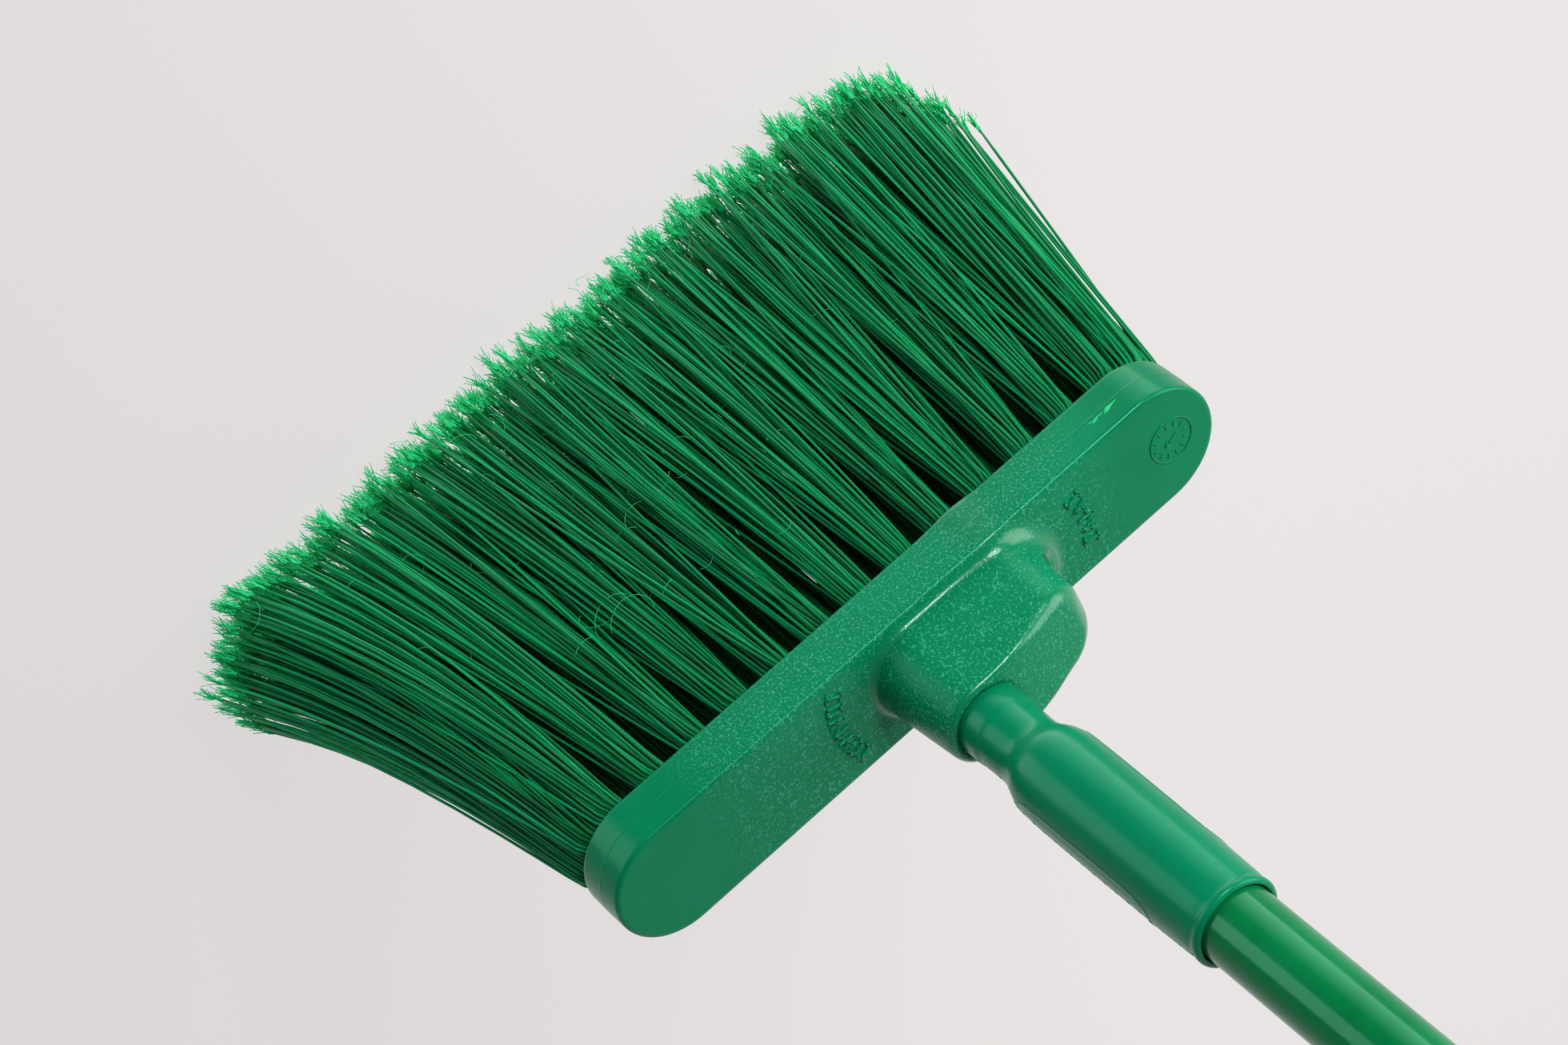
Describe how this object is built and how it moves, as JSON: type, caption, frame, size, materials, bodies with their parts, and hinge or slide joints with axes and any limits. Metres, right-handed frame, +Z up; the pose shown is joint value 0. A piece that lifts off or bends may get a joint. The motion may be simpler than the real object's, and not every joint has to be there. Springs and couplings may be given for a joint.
{
  "type": "upright and angle broom",
  "caption": "Broom with a moulded head block, two handle sockets, a fan of stapled filament tufts with split tips, and a screw-in tubular handle with a hanging cap.",
  "frame": {"origin": "middle of the sweeping edge, on the plane that the tuft tips are trimmed to", "axes": "+Z up the handle, X along the head with the slanting angle socket at its -X end, Y across the head"},
  "size_m": [0.296, 0.0618, 1.411],
  "materials": {
    "block_plastic": "spark-textured moulded polypropylene",
    "filament": "satin drawn filament with split tips",
    "tip_plastic": "semi-gloss moulded plastic",
    "tube_paint": "gloss coating with fine orange peel",
    "staple_wire": "drawn flat wire",
    "core_steel": "turned rod"
  },
  "bodies": {
    "head": {"head_block": "block_plastic", "tufts_front_row": "filament", "tufts_middle_row": "filament", "tufts_back_row": "filament", "tufts_left_end": "filament", "tufts_right_end": "filament", "staples_front_row": "staple_wire", "staples_middle_row": "staple_wire", "staples_back_row": "staple_wire", "staples_left_end": "staple_wire", "staples_right_end": "staple_wire"},
    "core": {"tip_core": "core_steel"},
    "handle": {"threaded_tip": "tip_plastic", "handle_tube": "tube_paint", "hanging_cap": "tip_plastic"}
  },
  "joints": [
    {"name": "handle_lift", "type": "slide", "parent": "head", "child": "core", "axis": [0, 0, 1], "range_m": [0, 0.0254]},
    {"name": "handle_turn", "type": "hinge", "parent": "core", "child": "handle", "pos_m": [0, 0, 0.217], "axis": [0, 0, 1], "range_deg": [0, 1801]}
  ],
  "couplings": [
    {"joint": "handle_turn", "follows": "handle_lift", "rad_per_m": 1236.8}
  ]
}
